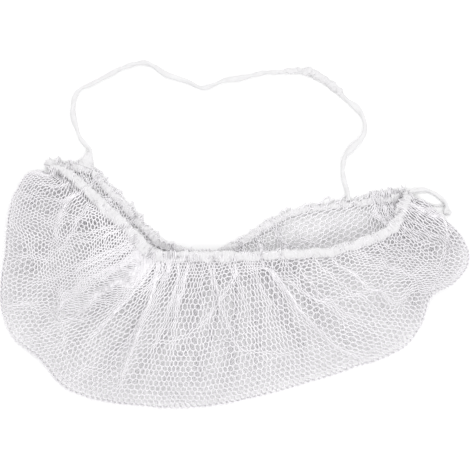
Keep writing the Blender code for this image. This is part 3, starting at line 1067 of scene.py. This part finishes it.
def crushed(point, layer, hold):
    amount = hold * max(hillAt(point, hill) for hill in crumples[layer]) / 1000
    wide, fine = crumpleSizes
    shift = noise.noise_vector(Vector((point.x / wide, point.y / wide, 4.1)))
    shift += 0.6 * noise.noise_vector(Vector((point.x / fine, point.y / fine, 9.7)))
    return point + shift * amount


def drawnTogether(point, layer, hold):
    for reach, pull, line, walked, box in gathersOf[layer]:
        if not (box[0] < point.x < box[1] and box[2] < point.y < box[3]):
            continue
        nearest = None
        for k, ((x0, y0), (x1, y1)) in enumerate(zip(line, line[1:])):
            share, off = nearSegment(point.x, point.y, x0, y0, x1, y1)
            if nearest is None or off < nearest[0]:
                at = between(walked[k], walked[k + 1], share)
                nearest = (off, between(x0, x1, share), between(y0, y1, share), at)
        off, x, y, at = nearest
        if off > gatherEnd * reach:
            continue
        fade = easedStep(-0.1 * reach, reach, at)
        fade *= easedStep(-0.1 * reach, 1.3 * reach, walked[-1] - at)
        strength = pull * exp(-((off / reach) ** 2)) * fade * hold
        point.x = between(point.x, x, strength)
        point.y = between(point.y, y, strength)
        point.z += knit["gatherLift"] * strength
    return point


def crinkled(point, seed, amount):
    # the knit is never quite even
    shiftX = 0.0
    shiftY = 0.0
    for most, sizeX, sizeY in unevenKnit:
        shiftX += most * noiseAt(point.x, point.y, sizeX, seed)
        shiftY += most * noiseAt(point.x, point.y, sizeY, seed + 1)
        seed += 2
    return Vector((point.x + amount * shiftX, point.y + amount * shiftY, point.z))


def overElastic(layer, section, extra):
    # the net's last rows climb the elastic, cross over it and end on its far side
    place = section if layer == "front" else rearPlace(section)
    middle, hang = rimAt(place)
    ahead = rimAt(place + 0.05)[0] - rimAt(place - 0.05)[0]
    along = Vector((ahead.x, ahead.y, 0)).normalized()
    side = Vector((-along.y, along.x, 0))
    if side.dot(hang) < 0:
        side.negate()
    start = layerPoints[layer](section, 0.0)
    start.z += knit["rimLift"]
    reach = knit["wrapAcross"] / 2
    rise = knit["wrapThick"] / 2
    turn = 0.1 + max(0.0, extra - knit["climb"]) / knit["perTurn"]
    fringe = max(0.0, turn - knit["lastTurn"]) * knit["perTurn"]
    turn = min(turn, knit["lastTurn"])
    wrapped = middle + side * (reach * cos(turn) - fringe)
    wrapped.z += rise * sin(turn) - 0.4 * fringe
    return between(start, wrapped, clamp(extra / knit["climb"]))


def netPoint(layer, column, distance):
    # a place of the net: its column, and how far it is from the fold; below 0 is the back layer
    if layer == "front" and distance < 0:
        return netPoint("back", column, -distance)
    column = clamp(column, 0.0, columnsInAll)
    path = columnPath(layer, column)
    spread = alongPath(layer, column, distance)
    if spread <= path[-1]:
        share = 1 - lookUp(path, spread) / pathSteps
        section = sectionOf(layer, column, share)
        point = layerPoints[layer](section, share)
        point.z += knit["rimLift"] * exp(-((share / knit["rimLiftReach"]) ** 2))
    else:
        share = 0.0
        section = sectionOf(layer, column, 0.0)
        point = overElastic(layer, section, distance - netReach(layer, column))
    # its unevenness fades at the rim and at the fold, where the two layers meet
    hold = easedStep(0.0, 0.1, share) * easedStep(0.0, 0.07, 1 - share)
    looseHold = easedStep(0.0, 0.012, share)
    point = drawnTogether(point, layer, hold)
    own = crinkled(point, 20 if layer == "front" else 40, 1.0)
    shared = crinkled(point, 60, 0.75)
    point = between(shared, own, hold)
    point = crushed(point, layer, hold if layer == "front" else looseHold)
    for height, size, seed in ripples[layer]:
        point.z += height * hold * noiseAt(point.x, point.y, size, seed)
    if layer == "back":
        for hill in backRises:
            point.z += looseHold * hillAt(point, hill) / 1000
        point.z += bulgeAt(point) * easedStep(0.0, 0.08, share)
    point.z = max(point.z, knit["lowest"])
    return point


def flatHoneycomb(name, columns, rows):
    # two six-sided cells, half a cell apart, repeated along and across
    deselectAll()
    bpy.ops.mesh.primitive_circle_add(vertices=6, radius=flatRadius, fill_type="NGON")
    sheet = justAdded(name)
    editAll(sheet)
    step = (knit["cellWidth"] / 2, 1.5 * flatRadius, 0)
    bpy.ops.mesh.duplicate_move(TRANSFORM_OT_translate={"value": step})
    toObjectMode()
    repeated(sheet, columns, (knit["cellWidth"], 0, 0))
    repeated(sheet, ceil(rows / 2), (0, 3 * flatRadius, 0))
    applyModifiers(sheet)
    editAll(sheet)
    bpy.ops.mesh.remove_doubles(threshold=0.00005)
    toObjectMode()
    return sheet


def strung(sheet, strand):
    # every edge of the sheet becomes a strand of yarn
    wires = sheet.modifiers.new("strands", "WIREFRAME")
    wires.thickness = strand
    wires.offset = 0.0
    wires.use_even_offset = False
    wires.use_relative_offset = False
    wires.use_boundary = True
    wires.vertex_group = "yarn"
    wires.use_replace = True
    applyModifiers(sheet)
    smoothShaded(sheet)


# How far the rear selvedge stands out past the rim: section of the rim, length and unevenness
# in millimetres
fringes = (
    (0, 0.4, 1.4), (2, 0.6, 2.4), (9, 0.6, 2.2), (10, -0.4, 0.8), (13, -0.2, 1.2),
    (15.6, 0.8, 1.6), (16.6, 2.1, 1.4), (19.6, 1.9, 1.2), (20.6, 0.2, 0.6), (22, -0.4, 0.2),
)


def raggedness(column, wide, fine, seed):
    return noiseAt(column, 0.0, wide, seed) + 0.7 * noiseAt(column, 0.0, fine, seed + 1)


def cutAt(layer, column):
    # where the net was cut, from the fold
    reach = netReach(layer, column)
    if layer == "front":
        return reach + knit["wrapLength"] + knit["ragged"] * raggedness(column, 2.1, 0.8, 85)
    length, unevenness = tableRow(fringes, rimPlaceOf("back", column))
    fringe = length + unevenness * raggedness(column, 2.3, 0.9, 81)
    return reach + knit["rearWrapLength"] + fringe / 1000


# How thick the yarn looks in millimetres, by section at the fold, and where it is thicker
yarnSizes = {
    "front": ((0, 0.78), (7, 0.77), (10, 0.82), (15, 0.82), (18, 0.78), (22, 0.76)),
    "back": ((0, 0.68), (7, 0.72), (10, 0.86), (17, 0.86), (19, 0.74), (22, 0.7)),
}
thickYarn = {
    "front": ((-60, 11, 24, 15, 0.28), (-93, 52, 8, 8, 0.16), (-82, 41, 8, 8, 0.2),
              (-71, 30, 9, 8, 0.2), (111, 44, 18, 13, 0.26)),
    "back": ((61, 33, 30, 16, 0.46), (-90, 63, 10, 10, 0.36), (-72, 44, 10, 10, 0.36),
             (-48, 24, 10, 10, 0.4)),
}


def yarnAt(layer, column, point):
    size = tableRow(yarnSizes[layer], foldSection(column))[0]
    return (size + sum(hillAt(point, hill) for hill in thickYarn[layer])) / 1000


def makeNetLayer(name, layer):
    sheet = flatHoneycomb(name, ceil(columnsInAll) + 1, knit["rows"])
    rowScale = knit["rowHeight"] / (1.5 * flatRadius)
    shift = 0.0 if layer == "front" else 0.5
    rowStart = 0.0 if layer == "front" else knit["rowHeight"]
    places = []
    for vertex in sheet.data.vertices:
        column = vertex.co.x / knit["cellWidth"] + shift
        places.append((column, vertex.co.y * rowScale + rowStart))

    def beyondTheCut(polygon):
        column = sum(places[k][0] for k in polygon.vertices) / len(polygon.vertices)
        distance = sum(places[k][1] for k in polygon.vertices) / len(polygon.vertices)
        inside = knit["sideMargin"] <= column <= columnsInAll - knit["sideMargin"]
        return not inside or distance > cutAt(layer, column)

    for vertex, place in zip(sheet.data.vertices, places):
        vertex.co = (*place, 0.0)
    selectOnly(sheet, "polygons", beyondTheCut)
    bpy.ops.mesh.delete(type="FACE")
    toObjectMode()
    yarn = sheet.vertex_groups.new(name="yarn")
    for vertex in sheet.data.vertices:
        column = vertex.co.x
        vertex.co = netPoint(layer, column, vertex.co.y)
        yarn.add([vertex.index], yarnAt(layer, column, vertex.co) / knit["strand"], "REPLACE")
    cells = len(sheet.data.polygons)
    covered = sum(polygon.area for polygon in sheet.data.polygons)
    strung(sheet, knit["strand"])
    print("%s: %d cells over %.4f square metres" % (name, cells, covered))
    # the back layer takes the darker copy of the yarn, which is painted shade
    return finished(sheet, netFinish if layer == "front" else rearPaintedShadeFinish), covered


frontNet, frontArea = makeNetLayer("knittedFront", "front")
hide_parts("front_net")
backNet, backArea = makeNetLayer("knittedBack", "back")
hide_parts("back_net")
print("net knitted")


# The rim: a flat elastic in a gathered, crumpled casing

rim = {
    "rings": 250,
    "cuts": 5,
    "sides": 14,
    "ringRadius": 0.1,       # of the ring that is bent to the rim
    "gatherEvery": 0.0021,
    "gatherDepth": 0.00013,
    "crumples": ((0.0011, 0.0055, 14), (0.00075, 0.0022, 15), (0.00045, 0.0009, 18)),
}
# width and thickness of the rim as it looks, by place along it, as shares of the band's
rimSizes = (
    (0, 0.95, 0.8), (2, 1.2, 0.86), (4, 1.5, 0.86), (8, 1.55, 0.86), (10, 1.24, 0.86),
    (16, 1.2, 0.86), (18, 1.44, 0.86), (20, 1.44, 0.86), (22, 1.0, 0.8), (25, 0.92, 0.86),
    (34, 0.9, 0.84), (38, 1.0, 0.8), (42, 1.0, 0.8), (44, 0.95, 0.8),
)
rimFine = [rimAt(k / fineSteps)[0] for k in range(2 * last * fineSteps + 1)]
rimTable = lengthTable(rimFine)


def makeRim():
    deselectAll()
    bpy.ops.mesh.primitive_torus_add(
        major_segments=rim["rings"], minor_segments=rim["sides"],
        major_radius=rim["ringRadius"], minor_radius=0.002,
    )
    piece = justAdded("gatheredRim")

    def runsRoundTheMouth(edge):
        first, second = (piece.data.vertices[k].co for k in edge.vertices)
        return abs(atan2(first.y, first.x) - atan2(second.y, second.x)) > 0.01

    selectOnly(piece, "edges", runsRoundTheMouth)
    bpy.ops.mesh.subdivide(number_cuts=rim["cuts"])
    toObjectMode()
    rings = rim["rings"] * (rim["cuts"] + 1)
    ringCache = {}
    for vertex in piece.data.vertices:
        turn = atan2(vertex.co.z, hypot(vertex.co.x, vertex.co.y) - rim["ringRadius"])
        ring = round(atan2(vertex.co.y, vertex.co.x) / (2 * pi) * rings) % rings
        if ring not in ringCache:
            distance = rimTable[-1] * ring / rings
            place = lookUp(rimTable, distance) / fineSteps
            middle, hang = rimAt(place)
            along = (rimAt(place + 0.05)[0] - rimAt(place - 0.05)[0]).normalized()
            side = (hang - along * hang.dot(along)).normalized()
            ringCache[ring] = (distance, place, middle, side, along.cross(side))
        distance, place, middle, side, up = ringCache[ring]
        wide, thick = tableRow(rimSizes, place)
        phase = distance / rim["gatherEvery"] + 0.8 * noiseAt(distance, 0.0, 0.006, 12)
        gather = rim["gatherDepth"] * sin(2 * pi * phase + 0.8 * sin(2 * turn))
        gather += 1.6 * rim["gatherDepth"] * noiseAt(distance, turn * 0.001, 0.0034, 13)
        across = (band["width"] / 2 * wide + gather) * cos(turn)
        rise = (band["thickness"] / 2 * thick + gather) * sin(turn)
        vertex.co = middle + side * across + up * rise
    crumple(piece, rim["crumples"])
    facedOutwards(piece)
    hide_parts("rim_band")
    return finished(piece, bandFinish)


makeRim()
print("rim gathered, %.0f mm round" % (1000 * rimTable[-1]))


# Loose yarn ends along the rear of the rim, and the cut, ragged end at its left corner

looseEnds = {
    "count": 84,
    "length": (0.0016, 0.0034),
    "radius": (0.00022, 0.00038),
    "height": (0.0012, 0.0026),
    "droop": 0.0007,
    "inset": 0.75,           # how far out on the rim they start
    "seed": 11,
}
# stretches of the rear rim as sections, and the share of the ends that stand there
looseStretches = ((0.2, 1.6, 0.12), (1.6, 9.6, 0.5), (13.0, 16.2, 0.1), (16.2, 21.6, 0.28))
# the longer thread at the right corner: foot, direction, sideways bend, length and radius
cornerThread = (
    Vector((0.0992, 0.0548, 0.0022)), Vector((-0.55, 0.83, 0)), Vector((0.1, 0.5, 0)),
    0.0034, 0.0004,
)
cutEnd = {
    "from": (-0.1065, 0.0702, 0.0036),
    "to": (-0.1128, 0.0748, 0.0022),
    "width": 0.0046,
    "thickness": 0.0024,
    "crumples": ((0.0009, 0.0021, 21), (0.0004, 0.0009, 22)),
}


def looseEndPlaces(draw):
    # foot, direction, sideways bend, length and radius of each end
    places = []
    for low, high, share in looseStretches:
        for k in range(round(looseEnds["count"] * share)):
            section = draw.uniform(low, high)
            middle, hang = rimAt(rearPlace(section))
            wide = tableRow(rimSizes, rearPlace(section))[0]
            foot = middle - hang * (band["width"] / 2 * wide * looseEnds["inset"])
            foot.z = draw.uniform(*looseEnds["height"])
            along = Vector((-hang.y, hang.x, 0))
            way = (-hang + along * draw.uniform(-1.1, 1.1)).normalized()
            bend = along * draw.uniform(-0.9, 0.9)
            length = draw.uniform(*looseEnds["length"])
            places.append((foot, way, bend, length, draw.uniform(*looseEnds["radius"])))
    places.append(cornerThread)
    return places


def makeLooseEnds():
    # one tapered yarn end, copied and bent
    places = looseEndPlaces(random.Random(looseEnds["seed"]))
    deselectAll()
    bpy.ops.mesh.primitive_cone_add(vertices=6, radius1=1.0, radius2=0.35, depth=1.0)
    piece = justAdded("looseYarnEnds")
    editAll(piece)
    bpy.ops.mesh.subdivide(number_cuts=3)
    toObjectMode()
    repeated(piece, len(places), (10, 0, 0))
    applyModifiers(piece)
    for vertex in piece.data.vertices:
        index = round(vertex.co.x / 10)
        foot, way, bend, length, radius = places[index]
        share = vertex.co.z + 0.5
        middle = foot + way * (length * share) + bend * (length * share * share)
        middle.z -= looseEnds["droop"] * share
        side = Vector((-way.y, way.x, 0))
        vertex.co = middle + side * (radius * (vertex.co.x - 10 * index))
        vertex.co.z = max(vertex.co.z + radius * vertex.co.y, tableGap)
    facedOutwards(piece)
    return finished(piece, netFinish)


def makeCutEnd():
    start = Vector(cutEnd["from"])
    end = Vector(cutEnd["to"])
    points = [between(start, end, k / 8) for k in range(9)]

    def radiusAt(share, turn):
        ragged = 1 + easedStep(0.5, 1.0, share) * 0.35 * sin(4 * turn + 1.0)
        ragged += 0.12 * sin(7 * turn + 12 * share)
        flat = hypot(cos(turn), cutEnd["thickness"] / cutEnd["width"] * sin(turn))
        return cutEnd["width"] / 2 * ragged * flat * between(0.85, 1.0, share)

    piece = sleeveAlong("cutRimEnd", points, radiusAt, 28, 30, bandFinish)
    crumple(piece, cutEnd["crumples"])
    return piece


makeLooseEnds()
makeCutEnd()
print("selvedge frayed, %d loose ends" % looseEnds["count"])


# Table and light

studio = {
    "floorColour": (0.93, 0.93, 0.93),
    "floorDrop": 0.0002,
    "keyPlace": (-0.45, 0.95, 1.55),
    "keySize": 0.9,
    "keyPower": 8.0,
    "fillPlace": (0.85, -0.6, 1.45),
    "fillSize": 1.1,
    "fillPower": 8.3,
    "skyStrength": 1.0,
}


def makeFloor():
    deselectAll()
    bpy.ops.mesh.primitive_plane_add(size=6.0, location=(0, 0, 0))
    table = justAdded("table")
    for vertex in table.data.vertices:
        vertex.co.z = -studio["floorDrop"]
    finish, shader = newFinish("paleTable")
    setInputs(shader, {"Roughness": 0.9, "Specular IOR Level": 0.1})
    coordinates = addNode(finish, "TexCoord", -900, 0)
    grain = noiseNode(finish, coordinates, 9.0, 2.0, -650, 0)
    colour = studio["floorColour"]
    shade = [0.995 * value for value in colour]
    toneNode(finish, grain, -400, 0, (shade, colour), (0.0, 1.0))
    table.data.materials.append(finish)


def makeLamp(name, place, size, power):
    deselectAll()
    bpy.ops.object.light_add(type="AREA", location=place)
    lamp = justAdded(name)
    lamp.data.shape = "SQUARE"
    lamp.data.size = size
    lamp.data.energy = power
    lamp.rotation_euler = (-Vector(place)).to_track_quat("-Z", "Y").to_euler()


def makeStudio():
    makeFloor()
    makeLamp("keyLamp", studio["keyPlace"], studio["keySize"], studio["keyPower"])
    makeLamp("fillLamp", studio["fillPlace"], studio["fillSize"], studio["fillPower"])
    world = bpy.data.worlds.new("softSky")
    world.use_nodes = True
    background = world.node_tree.nodes["Background"]
    background.inputs["Color"].default_value = (1.0, 1.0, 1.0, 1.0)
    background.inputs["Strength"].default_value = studio["skyStrength"]
    bpy.context.scene.world = world
    bpy.context.scene.view_settings.view_transform = "Standard"
    print("studio lit")


makeStudio()
